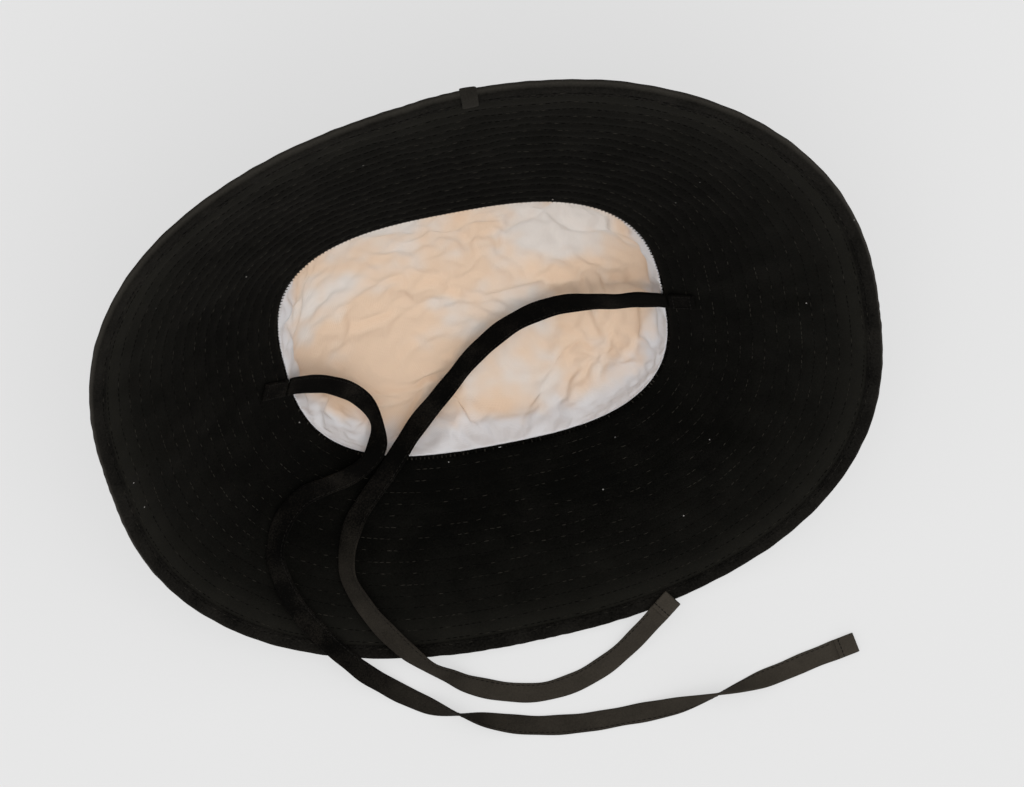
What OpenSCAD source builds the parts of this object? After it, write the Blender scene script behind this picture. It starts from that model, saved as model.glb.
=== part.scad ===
// Wide-brimmed cloth hat with chin ties, lying upside down and leaning on its crown
// and the front of its brim. +Z is up and the surface it lies on is z = 0.

/* [Head opening] */
// Long axis of the head opening, ear to ear as it lies
head_length = 184; // [150:1:225]
// Short axis of the head opening
head_width = 168; // [138:1:205]
// Shape of the head opening: 2 is an ellipse, more is boxier
head_boxiness = 2.8; // [2:0.1:3.6]

/* [Brim] */
// Width of the brim from the head seam to its edge
brim_width = 100; // [70:1:125]
// How steeply the brim rises out of the plane of the head opening, in degrees
brim_rise = 22.5; // [10:0.5:30]
// Extra rise at the right end and as much less at the left, in degrees
brim_side_wave = -6; // [-10:0.5:10]
// Extra rise at the back and as much less at the front, in degrees
brim_back_wave = -5; // [-10:0.5:10]
// Extra rise at both ends and as much less at front and back, in degrees
brim_oval_wave = 2.5; // [-8:0.5:8]
// Length over which the brim bends flat where it meets the table
brim_bend = 12; // [6:1:24]
// Thickness of the cloth on the wearer's side of the brim
under_cloth = 0.9; // [0.5:0.1:1.8]
// Thickness of the interlining inside the brim
interlining = 1.2; // [0.6:0.1:2.4]
// Thickness of the cloth on the outside of the brim
top_cloth = 0.9; // [0.5:0.1:1.8]

/* [Edge binding] */
// Thickness of the binding cloth
binding_cloth = 0.7; // [0.4:0.1:1.4]
// Width of the binding on each face of the brim
binding_width = 6; // [4:0.5:12]
// Length of the folded end that laps over the binding's start
lap_length = 11; // [6:1:20]

/* [Brim stitching] */
// Rows of stitching round the brim
stitch_rows = 16; // [4:1:20]
// Distance from the head seam to the first row
first_row = 4; // [2:0.5:10]
// Height of the thread above the cloth
thread_height = 0.4; // [0.2:0.1:0.8]
// Width of the thread
thread_width = 0.7; // [0.4:0.1:1.2]

/* [Crown] */
// Depth of the crown below the head opening
crown_depth = 94; // [80:1:118]
// Shape of the crown's side: 2 is round, more has a flatter tip
crown_boxiness = 4; // [2.4:0.1:4.4]
// Thickness of the crown cloth
crown_cloth = 1.2; // [0.6:0.1:2.4]
// Width of the seam allowance round the crown tip
tip_seam_width = 6; // [3:0.5:10]
// Height over which the crown flattens where it meets the table
crown_settle = 4; // [2:1:12]

/* [Lining] */
// Depth to which the loose lining is puffed up inside the crown
lining_depth = 36; // [28:1:48]
// Shape of the lining's side: 2 is round, more has a flatter tip
lining_boxiness = 2.2; // [2:0.1:4]
// Thickness of the lining cloth
lining_cloth = 0.6; // [0.3:0.1:1.2]
// Width of the seam allowance inside the head seam
allowance_width = 10; // [5:1:16]

/* [Ties] */
// Width of the flat tie tape
tie_width = 9.5; // [6:0.5:14]
// Thickness of the folded tie tape
tie_thickness = 1.3; // [0.8:0.1:2.4]
// Length of the folded hem at the free end of each tie
tie_hem = 10; // [6:1:16]
// Length of the sewn root of each tie on the brim
tie_root = 12; // [8:1:20]

/* [Lie of the hat] */
// Lean of the head opening towards the front, in degrees from level
lean = 48; // [40:1:54]
// Turn of the head oval in its own plane, in degrees
turn = 2; // [-20:1:20]
// Height of the front of the head opening above the table
front_height = 34; // [30:1:42]

/* [Hidden] */

black_cloth = [0.07, 0.065, 0.06];
faded_cloth = [0.13, 0.12, 0.11];
black_thread = [0.16, 0.15, 0.14];
cream_cotton = [0.93, 0.85, 0.78];
peach_cotton = [0.92, 0.80, 0.69];
grey_interlining = [0.35, 0.34, 0.32];

// Columns round the hat, and the gap left where cloth is sewn but not pressed together
around = 48;
seam_ease = 0.3;
column = 360 / around;
columns = [for (i = [0:around - 1]) i * column];

brim_thickness = under_cloth + interlining + top_cloth;
brim_top_face = -brim_thickness / 2;
brim_under_face = brim_thickness / 2;
// Height of the middle of the brim where it lies flat: its lower binding touches the table
brim_floor = brim_thickness / 2 + binding_cloth + seam_ease;
// Middle of the head opening, placed so that the origin is under the middle of the hat
head_centre = [-3.7, 22.1, front_height + head_width / 2 * sin(lean)];

// Shapes in the hat's own frame: the head opening is the plane z = 0, its inside below it

function signed_power(x, p) = sign(x) * pow(abs(x), p);
function unit(v) = v / norm(v);

function head_radius(t) =
    pow(pow(abs(cos(t)) / (head_length / 2), head_boxiness)
        + pow(abs(sin(t)) / (head_width / 2), head_boxiness), -1 / head_boxiness);
function head_point(t) = head_radius(t) * [cos(t), sin(t), 0];
function head_outward(t) =
    let (p = head_point(t), a = head_length / 2, b = head_width / 2, k = head_boxiness - 1)
    unit([signed_power(p.x / a, k) / a, signed_power(p.y / b, k) / b, 0]);

// Direction and point of the hat's frame as the hat leans on the table
function lean_over(v) =
    let (x = v.x * cos(turn) - v.y * sin(turn), y = v.x * sin(turn) + v.y * cos(turn))
    [x, y * cos(lean) - v.z * sin(lean), y * sin(lean) + v.z * cos(lean)];
function place(v) = lean_over(v) + head_centre;

// Brim: straight out of the head seam, then bent level where it would pass the table

function rise(t) =
    brim_rise + brim_side_wave * cos(t) + brim_back_wave * sin(t) + brim_oval_wave * cos(2 * t);
function brim_middle(t, s) =
    let (seam = place(head_point(t)), e = head_outward(t), r = rise(t),
         out = lean_over([e.x * cos(r), e.y * cos(r), sin(r)]),
         level = unit([out.x, out.y, 0]),
         reach = (seam.z - brim_floor) / max(-out.z, 0.02),
         past = s - reach,
         bent = out.z < -0.02 ? (past + sqrt(past * past + brim_bend * brim_bend)) / 2 : 0)
    seam + out * (s - bent) + level * bent;
function brim_normal(t, s) =
    unit(cross(brim_middle(t, s + 1) - brim_middle(t, s - 1),
               brim_middle(t + 1, s) - brim_middle(t - 1, s)));
function brim_at(t, s, height) = brim_middle(t, s) + height * brim_normal(t, s);

// Crown and lining: a soft dome below the head opening that flattens on the table

function settle(z, floor_z) =
    let (u = z - floor_z)
    u >= crown_settle ? z : u <= -crown_settle ? floor_z
        : floor_z + pow(u + crown_settle, 2) / (4 * crown_settle);
function dome_middle(t, a, outset, start, depth, boxiness, floor_z) =
    let (p = head_point(t) + outset * head_outward(t), c = pow(max(cos(a), 0), 2 / boxiness),
         s = signed_power(sin(a), 2 / boxiness),
         w = place([p.x * c, p.y * c, -start - (depth - start) * s]))
    [w.x, w.y, settle(w.z, floor_z)];
function crown_middle(t, a) =
    dome_middle(t, a, crown_cloth / 2, brim_thickness / 2 + seam_ease, crown_depth,
                crown_boxiness, crown_cloth / 2);
function lining_middle(t, a) =
    dome_middle(t, a, -lining_outset, lining_drop, lining_depth, lining_boxiness,
                crown_cloth + seam_ease + lining_cloth);
lining_outset = 1.5 + lining_cloth / 2;
lining_drop = 1.5;
function crown_at(t, a, height) =
    crown_middle(t, a) + height * unit(cross(
        crown_middle(t, a + 1) - crown_middle(t, max(a - 1, 0)),
        crown_middle(t + 1, a) - crown_middle(t - 1, a)));
function lining_at(t, a, height) =
    lining_middle(t, a) + height * unit(cross(
        lining_middle(t, a + 1) - lining_middle(t, max(a - 1, 0)),
        lining_middle(t + 1, a) - lining_middle(t - 1, a)));

// Sheets of cloth as closed shells. over and under are lists of rows of points.

function flat(rows) = [for (row = rows, p = row) p];
function quad(a, b, c, d) = [[a, c, b], [a, d, c]];

// A band that runs all the way round: rows of points, the last column joined to the first
module band(over, under) {
    n = len(over[0]);
    m = len(over);
    base = n * m;
    function o(i, j) = i * n + j % n;
    function u(i, j) = base + i * n + j % n;
    polyhedron(concat(flat(over), flat(under)), concat(
        [for (i = [0:m - 2], j = [0:n - 1], f = quad(o(i, j), o(i + 1, j), o(i + 1, j + 1), o(i, j + 1))) f],
        [for (i = [0:m - 2], j = [0:n - 1], f = quad(u(i, j), u(i, j + 1), u(i + 1, j + 1), u(i + 1, j))) f],
        [for (j = [0:n - 1], f = quad(o(0, j), o(0, j + 1), u(0, j + 1), u(0, j))) f],
        [for (j = [0:n - 1], f = quad(o(m - 1, j), u(m - 1, j), u(m - 1, j + 1), o(m - 1, j + 1))) f]));
}

// A piece that runs only part of the way round
module strip(over, under) {
    n = len(over[0]);
    m = len(over);
    base = n * m;
    function o(i, j) = i * n + j;
    function u(i, j) = base + i * n + j;
    polyhedron(concat(flat(over), flat(under)), concat(
        [for (i = [0:m - 2], j = [0:n - 2], f = quad(o(i, j), o(i + 1, j), o(i + 1, j + 1), o(i, j + 1))) f],
        [for (i = [0:m - 2], j = [0:n - 2], f = quad(u(i, j), u(i, j + 1), u(i + 1, j + 1), u(i + 1, j))) f],
        [for (j = [0:n - 2], f = quad(o(0, j), o(0, j + 1), u(0, j + 1), u(0, j))) f],
        [for (j = [0:n - 2], f = quad(o(m - 1, j), u(m - 1, j), u(m - 1, j + 1), o(m - 1, j + 1))) f],
        [for (i = [0:m - 2], f = quad(o(i, 0), u(i, 0), u(i + 1, 0), o(i + 1, 0))) f],
        [for (i = [0:m - 2], f = quad(o(i, n - 1), o(i + 1, n - 1), u(i + 1, n - 1), u(i, n - 1))) f]));
}

// A cap that closes a dome: a band whose last row is drawn together to one point
module cap(over, under) {
    n = len(over[0]);
    m = len(over);
    base = n * m;
    over_point = 2 * base;
    function middle(row) = [for (p = row) 1] * row / n;
    function o(i, j) = i * n + j % n;
    function u(i, j) = base + i * n + j % n;
    polyhedron(concat(flat(over), flat(under), [middle(over[m - 1]), middle(under[m - 1])]), concat(
        [for (i = [0:m - 2], j = [0:n - 1], f = quad(o(i, j), o(i + 1, j), o(i + 1, j + 1), o(i, j + 1))) f],
        [for (i = [0:m - 2], j = [0:n - 1], f = quad(u(i, j), u(i, j + 1), u(i + 1, j + 1), u(i + 1, j))) f],
        [for (j = [0:n - 1], f = quad(o(0, j), o(0, j + 1), u(0, j + 1), u(0, j))) f],
        [for (j = [0:n - 1]) [o(m - 1, j), o(m - 1, j + 1), over_point]],
        [for (j = [0:n - 1]) [u(m - 1, j), over_point + 1, u(m - 1, j + 1)]]));
}

// A section carried round the hat: one list of points per column, closed on itself
module hoop(sections) {
    k = len(sections[0]);
    n = len(sections);
    function id(j, i) = (j % n) * k + i % k;
    polyhedron(flat(sections),
        [for (j = [0:n - 1], i = [0:k - 1], f = quad(id(j, i), id(j, i + 1), id(j + 1, i + 1), id(j + 1, i))) f]);
}

// A section carried along a line and closed at both ends
module bar(sections) {
    k = len(sections[0]);
    n = len(sections);
    function id(j, i) = j * k + i % k;
    polyhedron(flat(sections), concat(
        [for (j = [0:n - 2], i = [0:k - 1], f = quad(id(j, i), id(j + 1, i), id(j + 1, i + 1), id(j, i + 1))) f],
        [[for (i = [k - 1:-1:0]) i]],
        [[for (i = [0:k - 1]) (n - 1) * k + i]]));
}

// Brim

binding_start = brim_width - binding_width;
brim_rows = concat([0, 0.2, 0.4, 0.6, 0.75, 0.88] * binding_start, [binding_start, brim_width]);
module brim_layer(low, high) {
    band([for (s = brim_rows) [for (t = columns) brim_at(t, s, high)]],
         [for (s = brim_rows) [for (t = columns) brim_at(t, s, low)]]);
}
module brim_top_cloth() {
    color(black_cloth) brim_layer(brim_top_face, brim_top_face + top_cloth);
}
module brim_interlining() {
    color(grey_interlining) brim_layer(brim_top_face + top_cloth, brim_under_face - under_cloth);
}
module brim_under_cloth() {
    color(black_cloth) brim_layer(brim_under_face - under_cloth, brim_under_face);
}

// Binding: a folded strip that wraps the edge of the three layers
binding_ease = 0.4;
function binding_section(t) =
    let (inner = brim_under_face + binding_ease, outer = inner + binding_cloth,
         back = binding_start, edge = brim_width + binding_ease)
    [for (p = [[back, outer], [edge, outer], [edge + binding_cloth, inner],
               [edge + binding_cloth, -inner], [edge, -outer], [back, -outer], [back, -inner],
               [edge, -inner], [edge, inner], [back, inner]])
        brim_at(t, p[0], p[1])];
module brim_binding() {
    color(faded_cloth) hoop([for (t = columns) binding_section(t)]);
}

// The binding's end, folded under and lapped over its start at the back of the brim
lap_angle = 80;
module binding_lap() {
    low = brim_under_face + 2 * binding_ease + binding_cloth;
    per_degree = norm(brim_middle(lap_angle + 0.5, brim_width) - brim_middle(lap_angle - 0.5, brim_width));
    step = lap_length / per_degree;
    color(faded_cloth) bar([for (t = [lap_angle, lap_angle - step / 2, lap_angle - step])
        [for (p = [[binding_start, low], [binding_start, low + binding_cloth],
                   [brim_width, low + binding_cloth], [brim_width, low]])
            brim_at(t, p[0], p[1])]]);
}

// Rows of machine stitching on the wearer's side, one hoop of thread to a row
row_pitch = (binding_start - first_row - 1.5) / (stitch_rows - 1);
module brim_stitching() {
    color(black_thread) for (row = [0:stitch_rows - 1]) {
        s = first_row + row * row_pitch;
        hoop([for (t = columns)
            [brim_at(t, s - thread_width / 2, brim_under_face),
             brim_at(t, s, brim_under_face + thread_height),
             brim_at(t, s + thread_width / 2, brim_under_face)]]);
    }
}

// Crown: two side pieces seamed at front and back, and an oval tip

side_rows = [0, 8, 18, 29, 40, 50];
tip_rows = [50, 60, 71, 83];
half = around / 2;
module dome_side(from, low, high, lined) {
    span = [for (j = [0:half]) from + j * column];
    strip([for (a = side_rows) [for (t = span) lined ? lining_at(t, a, high) : crown_at(t, a, high)]],
          [for (a = side_rows) [for (t = span) lined ? lining_at(t, a, low) : crown_at(t, a, low)]]);
}
module dome_tip(low, high, lined) {
    cap([for (a = tip_rows) [for (t = columns) lined ? lining_at(t, a, high) : crown_at(t, a, high)]],
        [for (a = tip_rows) [for (t = columns) lined ? lining_at(t, a, low) : crown_at(t, a, low)]]);
}
module crown_side_left() {
    color(black_cloth) dome_side(90, -crown_cloth / 2, crown_cloth / 2, false);
}
module crown_side_right() {
    color(black_cloth) dome_side(270, -crown_cloth / 2, crown_cloth / 2, false);
}
module crown_tip() {
    color(black_cloth) dome_tip(-crown_cloth / 2, crown_cloth / 2, false);
}

// Seam allowance of the crown tip, turned in and stitched down inside the crown
module crown_tip_seam() {
    seam_angle = tip_rows[0];
    spread = tip_seam_width / crown_depth * 180 / PI / 2;
    high = -crown_cloth / 2 - seam_ease;
    low = high - top_cloth;
    color(faded_cloth) hoop([for (t = columns)
        [crown_at(t, seam_angle - spread, high), crown_at(t, seam_angle, high),
         crown_at(t, seam_angle + spread, high), crown_at(t, seam_angle + spread, low),
         crown_at(t, seam_angle, low), crown_at(t, seam_angle - spread, low)]]);
}

// Lining: two loose side pieces and a tip of thin cotton, puffed up inside the crown

module lining_left() {
    color(cream_cotton) dome_side(90, -lining_cloth / 2, lining_cloth / 2, true);
}
module lining_right() {
    color(cream_cotton) dome_side(270, -lining_cloth / 2, lining_cloth / 2, true);
}
module lining_tip() {
    color(peach_cotton) dome_tip(-lining_cloth / 2, lining_cloth / 2, true);
}

// Head seam: the allowance turned down between crown and lining, and the thread that
// holds the lining's edge

module head_seam_allowance() {
    outside = -seam_ease;
    inside = outside - top_cloth;
    top = -brim_thickness / 2 - seam_ease;
    color(faded_cloth) hoop([for (t = columns)
        [for (p = [[inside, top], [outside, top], [outside, top - allowance_width],
                   [inside, top - allowance_width]])
            place(head_point(t) + p[0] * head_outward(t) + [0, 0, p[1]])]]);
}
module head_seam_thread() {
    middle = -lining_outset;
    low = seam_ease - lining_drop;
    color(black_thread) hoop([for (t = columns)
        [for (p = [[middle - thread_width / 2, low], [middle, low + thread_width],
                   [middle + thread_width / 2, low]])
            place(head_point(t) + p[0] * head_outward(t) + [0, 0, p[1]])]]);
}

// Ties: flat folded tape sewn to the brim beside the head opening, lying loose over the
// lining, the brim and the table. Each row is x and y from the middle of the head opening,
// z from the table, and the tape's roll about its line.

left_route = [
    [-90.2, -10.7, 88.3, 40], [-86, -10.5, 84.5, 35], [-79, -11, 76, 30], [-71, -13, 66, 20],
    [-62, -18, 54, 10], [-56, -25, 48, 0], [-53, -34, 45, -10], [-54, -43, 45, -25],
    [-58, -50, 47, -30], [-65, -55, 48, -30], [-73, -58, 49, -30], [-82, -60, 51, -30],
    [-93, -63, 54, -35], [-102, -70, 55, -35], [-108, -79, 53, -30], [-111, -89, 49, -20],
    [-110, -100, 43, -15], [-107, -112, 36, -10], [-101, -124, 29, -5], [-93, -136, 22, 0],
    [-86, -145, 16, 0], [-79, -153, 9, 0], [-71, -160, 4, 0], [-62, -167, 1.5, 0],
    [-49, -175, 1, 0], [-28, -184, 1, 0], [-5, -191, 1, 0], [19, -194, 1, 0],
    [44, -194, 1, 0], [69, -193, 1, 0], [94, -190, 1, 0], [117, -186, 1, 0],
    [134, -182, 1, 0], [148, -179, 1, 0]];
right_route = [
    [91.2, 0.1, 100.6, -50], [86, 1.5, 98, -50], [78, 3, 91, -45], [68, 4, 82, -45],
    [56, 6, 73, -40], [42, 7, 65, -40], [28, 5, 59, -35], [16, 1, 53, -35],
    [5, -5, 48, -30], [-5, -12, 43, -25], [-14, -20, 40, -20], [-23, -28, 38, -15],
    [-31, -35, 38, -5], [-38, -42, 41, 0], [-45, -50, 44, 0], [-53, -59, 43, -15],
    [-62, -68, 41, -25], [-70, -77, 39, -25], [-75, -86, 37, -25], [-78, -95, 34, -20],
    [-79, -105, 30, -15], [-76, -115, 25, -5], [-71, -126, 20, 0], [-64, -137, 15, 0],
    [-56, -147, 12, 0], [-48, -155, 7, 0], [-39, -161, 3, 0], [-30, -167, 1, 0],
    [-14, -173, 1, 0], [3, -176, 1, 0], [20, -174, 1, 0], [34, -169, 1, 0],
    [45, -163, 2.5, 0], [56, -155, 6, 0], [66, -147, 8.5, 0]];

tape_corner = 0.3;
function between(p, q, r, s, f) =
    (2 * q + (r - p) * f + (2 * p - 5 * q + 4 * r - s) * f * f + (3 * q - p - 3 * r + s) * f * f * f) / 2;
function smooth_route(route) =
    let (n = len(route))
    concat([for (i = [0:n - 2], f = [0, 0.5])
        between(route[max(i - 1, 0)], route[i], route[i + 1], route[min(i + 2, n - 1)], f)], [route[n - 1]]);
function place_of(row) = [row[0] + head_centre.x, row[1] + head_centre.y, row[2]];
function tape_up(along, roll) =
    let (level = unit([0, 0, 1] - along * along.z))
    level * cos(roll) + cross(along, level) * sin(roll);
function tape_section(middle, along, up, low, high) =
    let (side = cross(along, up), w = tie_width / 2, k = tape_corner)
    [for (p = [[w, low + k], [w, high - k], [w - k, high], [k - w, high], [-w, high - k],
               [-w, low + k], [k - w, low], [w - k, low]])
        middle + side * p[0] + up * p[1]];
module tie(route) {
    rows = smooth_route(route);
    last = len(rows) - 1;
    bar([for (i = [0:last])
        let (along = unit(place_of(rows[min(i + 1, last)]) - place_of(rows[max(i - 1, 0)])))
        tape_section(place_of(rows[i]), along, tape_up(along, rows[i][3]),
                     -tie_thickness / 2, tie_thickness / 2)]);
}
module left_tie() {
    color(faded_cloth) tie(left_route);
}
module right_tie() {
    color(faded_cloth) tie(right_route);
}

// The tape's end folded back on itself and stitched: twice as thick, resting on the same face
module hem(route) {
    rows = smooth_route(route);
    last = len(rows) - 1;
    end = place_of(rows[last]);
    along = unit(end - place_of(rows[last - 1]));
    up = tape_up(along, rows[last][3]);
    bar([for (reach = [0, tie_hem])
        tape_section(end + reach * along, along, up, -tie_thickness / 2, tie_thickness * 3 / 2)]);
}
module left_tie_hem() {
    color(faded_cloth) hem(left_route);
}
module right_tie_hem() {
    color(faded_cloth) hem(right_route);
}

// The sewn root of each tie: it stays on the brim while the rest of the tie swings from it
left_root = 186;
right_root = 0;
root_gap = 1.5;
module tack(angle, skew) {
    height = brim_under_face + thread_height + seam_ease + tie_thickness / 2;
    inner = brim_at(angle, root_gap, height);
    outer = brim_at(angle + skew, root_gap + tie_root, height);
    along = unit(inner - outer);
    face = brim_normal(angle + skew / 2, tie_root / 2);
    up = unit(face - along * (along * face));
    bar([for (middle = [outer, inner])
        tape_section(middle, along, up, -tie_thickness / 2, tie_thickness / 2)]);
}
module left_tie_tack() {
    color(faded_cloth) tack(left_root, -4);
}
module right_tie_tack() {
    color(faded_cloth) tack(right_root, 0);
}

brim_under_cloth();
brim_interlining();
brim_top_cloth();
brim_binding();
binding_lap();
brim_stitching();
crown_side_left();
crown_side_right();
crown_tip();
crown_tip_seam();
lining_left();
lining_right();
lining_tip();
head_seam_allowance();
head_seam_thread();
left_tie_tack();
right_tie_tack();
left_tie();
left_tie_hem();
right_tie();
right_tie_hem();
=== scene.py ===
import math

import bpy
import numpy as np
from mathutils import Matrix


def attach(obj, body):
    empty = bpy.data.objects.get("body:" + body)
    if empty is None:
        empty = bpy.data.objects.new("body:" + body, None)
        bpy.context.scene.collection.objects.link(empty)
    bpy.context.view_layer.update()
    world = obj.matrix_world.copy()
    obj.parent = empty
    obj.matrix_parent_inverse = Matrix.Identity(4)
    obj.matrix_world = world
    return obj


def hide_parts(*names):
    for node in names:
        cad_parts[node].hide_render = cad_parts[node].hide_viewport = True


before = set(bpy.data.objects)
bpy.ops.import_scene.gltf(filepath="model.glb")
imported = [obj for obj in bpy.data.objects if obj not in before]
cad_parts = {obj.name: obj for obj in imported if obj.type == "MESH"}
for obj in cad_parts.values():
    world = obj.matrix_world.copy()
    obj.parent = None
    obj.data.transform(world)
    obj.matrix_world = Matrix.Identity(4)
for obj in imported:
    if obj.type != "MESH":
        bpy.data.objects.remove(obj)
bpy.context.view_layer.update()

# Camera: straight above the hat, turned a little, with a long lens that keeps
# the brim and the ends of both ties in view.
camera_data = bpy.data.cameras.new("camera")
camera_data.sensor_width = 36
camera_data.lens = 202.8
camera = bpy.data.objects.new("camera", camera_data)
camera.location = (0.00914, -0.00874, 2.8)
camera.rotation_euler = (0, 0, math.radians(-9.4))
bpy.context.collection.objects.link(camera)
bpy.context.scene.camera = camera

# Chin ties: two lengths of black cotton tape, folded in half along their length and
# stitched near the open edge. Each is sewn to the brim beside the head opening and
# lies loose over the lining, the brim and the table.
tape_width = 0.0095
tape_thickness = 0.0013
under_head = np.array([-0.0037, 0.0221, 0.0])
left_route = [
    [-90.2, -10.7, 88.3, 40], [-86, -10.5, 84.5, 35], [-79, -11, 76, 30], [-71, -13, 66, 20],
    [-62, -18, 54, 10], [-56, -25, 48, 0], [-53, -34, 45, -10], [-54, -43, 45, -25],
    [-58, -50, 47, -30], [-65, -55, 48, -30], [-73, -58, 49, -30], [-82, -60, 51, -30],
    [-93, -63, 54, -35], [-102, -70, 55, -35], [-108, -79, 53, -30], [-111, -89, 49, -20],
    [-110, -100, 43, -15], [-107, -112, 36, -10], [-101, -124, 29, -5], [-93, -136, 22, 0],
    [-86, -145, 16, 0], [-79, -153, 9, 0], [-71, -160, 4, 0], [-62, -167, 1.5, 0],
    [-49, -175, 1, 0], [-28, -184, 1, 0], [-5, -191, 1, 0], [19, -194, 1, 0],
    [44, -194, 1, 0], [69, -193, 1, 0], [94, -190, 1, 0], [117, -186, 1, 0],
    [134, -182, 1, 0], [148, -179, 1, 0]]
right_route = [
    [91.2, 0.1, 100.6, -50], [86, 1.5, 98, -50], [78, 3, 91, -45], [68, 4, 82, -45],
    [56, 6, 73, -40], [42, 7, 65, -40], [28, 5, 59, -35], [16, 1, 53, -35],
    [5, -5, 48, -30], [-5, -12, 43, -25], [-14, -20, 40, -20], [-23, -28, 38, -15],
    [-31, -35, 38, -5], [-38, -42, 41, 0], [-45, -50, 44, 0], [-53, -59, 43, -15],
    [-62, -68, 41, -25], [-70, -77, 39, -25], [-75, -86, 37, -25], [-78, -95, 34, -20],
    [-79, -105, 30, -15], [-76, -115, 25, -5], [-71, -126, 20, 0], [-64, -137, 15, 0],
    [-56, -147, 12, 0], [-48, -155, 7, 0], [-39, -161, 3, 0], [-30, -167, 1, 0],
    [-14, -173, 1, 0], [3, -176, 1, 0], [20, -174, 1, 0], [34, -169, 1, 0],
    [45, -163, 2.5, 0], [56, -155, 6, 0], [66, -147, 8.5, 0]]


def unit(v):
    return v / np.linalg.norm(v, axis=-1, keepdims=True)


def smooth_route(route, per_span):
    """Points and rolls on one smooth line through the route, in metres and radians."""
    rows = np.array(route, float) * [0.001, 0.001, 0.001, math.pi / 180]
    rows[:, :3] += under_head
    padded = np.vstack([rows[:1], rows, rows[-1:]])
    line = []
    for i in range(len(rows) - 1):
        p, q, r, s = padded[i:i + 4]
        for f in np.arange(per_span) / per_span:
            line.append((2 * q + (r - p) * f + (2 * p - 5 * q + 4 * r - s) * f ** 2
                         + (3 * q - p - 3 * r + s) * f ** 3) / 2)
    return np.array(line + [rows[-1]])


def tape_axes(points, roll):
    """Directions along the tape, across it and out of its face."""
    along = unit(np.gradient(points, axis=0))
    level = unit(np.array([0, 0, 1]) - along * along[:, 2:])
    up = level * np.cos(roll)[:, None] + np.cross(along, level) * np.sin(roll)[:, None]
    return along, np.cross(along, up), up


def new_mesh(name, points, faces, uvs=None):
    """An object of its own mesh; uvs holds one (u, v) for each point."""
    mesh = bpy.data.meshes.new(name)
    mesh.from_pydata([tuple(p) for p in points], [], faces)
    if uvs is not None:
        corners = np.empty(len(mesh.loops), dtype=np.int32)
        mesh.loops.foreach_get("vertex_index", corners)
        layer = mesh.uv_layers.new(name="lie")
        layer.data.foreach_set("uv", np.asarray(uvs, float)[corners].ravel())
    mesh.update()
    piece = bpy.data.objects.new(name, mesh)
    bpy.context.collection.objects.link(piece)
    return piece


def points_of(piece):
    points = np.empty(len(piece.data.vertices) * 3, np.float32)
    piece.data.vertices.foreach_get("co", points)
    return points.reshape(-1, 3).astype(float)


def move_points(piece, points):
    piece.data.vertices.foreach_set("co", points.astype(np.float32).ravel())
    piece.data.update()


def swept(name, sections, uvs, closed_round=False):
    """A closed skin over sections, each a ring of points, joined end to end or capped."""
    sections = np.asarray(sections)
    count, ring = sections.shape[:2]
    faces = []
    for j in range(count if closed_round else count - 1):
        a, b = j * ring, (j + 1) % count * ring
        for i in range(ring):
            k = (i + 1) % ring
            faces.append((a + i, a + k, b + k, b + i))
    if not closed_round:
        faces.append(tuple(range(ring - 1, -1, -1)))
        faces.append(tuple((count - 1) * ring + i for i in range(ring)))
    piece = new_mesh(name, sections.reshape(-1, 3), faces, np.asarray(uvs).reshape(-1, 2))
    only(piece)
    bpy.ops.object.mode_set(mode="EDIT")
    bpy.ops.mesh.select_all(action="SELECT")
    bpy.ops.mesh.normals_make_consistent(inside=False)
    bpy.ops.object.mode_set(mode="OBJECT")
    bpy.ops.object.shade_smooth_by_angle(angle=math.radians(50))
    return piece


def only(piece):
    """Selects this piece alone and makes it the active one."""
    bpy.ops.object.select_all(action="DESELECT")
    piece.select_set(True)
    bpy.context.view_layer.objects.active = piece


# One stitch: a short thread, thick in the middle and pulled into the cloth at its ends,
# as (along, across, up) for a thread one unit long, wide and high
stitch_rings = [(-0.36, 0.7), (0.0, 1.0), (0.36, 0.7)]
stitch_shape = [(-0.5, 0, 0)]
for place_on, size in stitch_rings:
    stitch_shape += [(place_on, 0.5 * size, 0), (place_on, 0, size),
                     (place_on, -0.5 * size, 0), (place_on, 0, -0.3)]
stitch_shape.append((0.5, 0, 0))
stitch_shape = np.array(stitch_shape)
stitch_faces = [(0, 1 + (i + 1) % 4, 1 + i) for i in range(4)]
for ring_start in (1, 5):
    stitch_faces += [(ring_start + i, ring_start + (i + 1) % 4,
                      ring_start + 4 + (i + 1) % 4, ring_start + 4 + i) for i in range(4)]
stitch_faces += [(9 + i, 9 + (i + 1) % 4, 13) for i in range(4)]


def sew(name, middles, along, up, length, width, height, seed):
    """A line of stitches: one thread mesh copied to each middle, some paler than others."""
    count = len(middles)
    across = np.cross(up, along)
    rng = np.random.default_rng(seed)
    sizes = np.stack([np.full(count, length), np.full(count, width), np.full(count, height)], 1)
    sizes *= rng.uniform(0.8, 1.08, (count, 3))
    skew = rng.normal(0, 0.06, count)[:, None]
    along = unit(along + across * skew)
    points = (middles[:, None]
              + along[:, None] * (stitch_shape[None, :, :1] * sizes[:, None, :1])
              + across[:, None] * (stitch_shape[None, :, 1:2] * sizes[:, None, 1:2])
              + up[:, None] * (stitch_shape[None, :, 2:] * sizes[:, None, 2:]))
    steps = len(stitch_shape)
    faces = [tuple(n * steps + k for k in face) for n in range(count) for face in stitch_faces]
    piece = new_mesh(name, points.reshape(-1, 3), faces)
    only(piece)
    bpy.ops.object.shade_smooth()
    tone = piece.data.attributes.new("tone", "FLOAT", "POINT")
    tone.data.foreach_set("value", np.repeat(rng.random(count), steps))
    return piece


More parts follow.
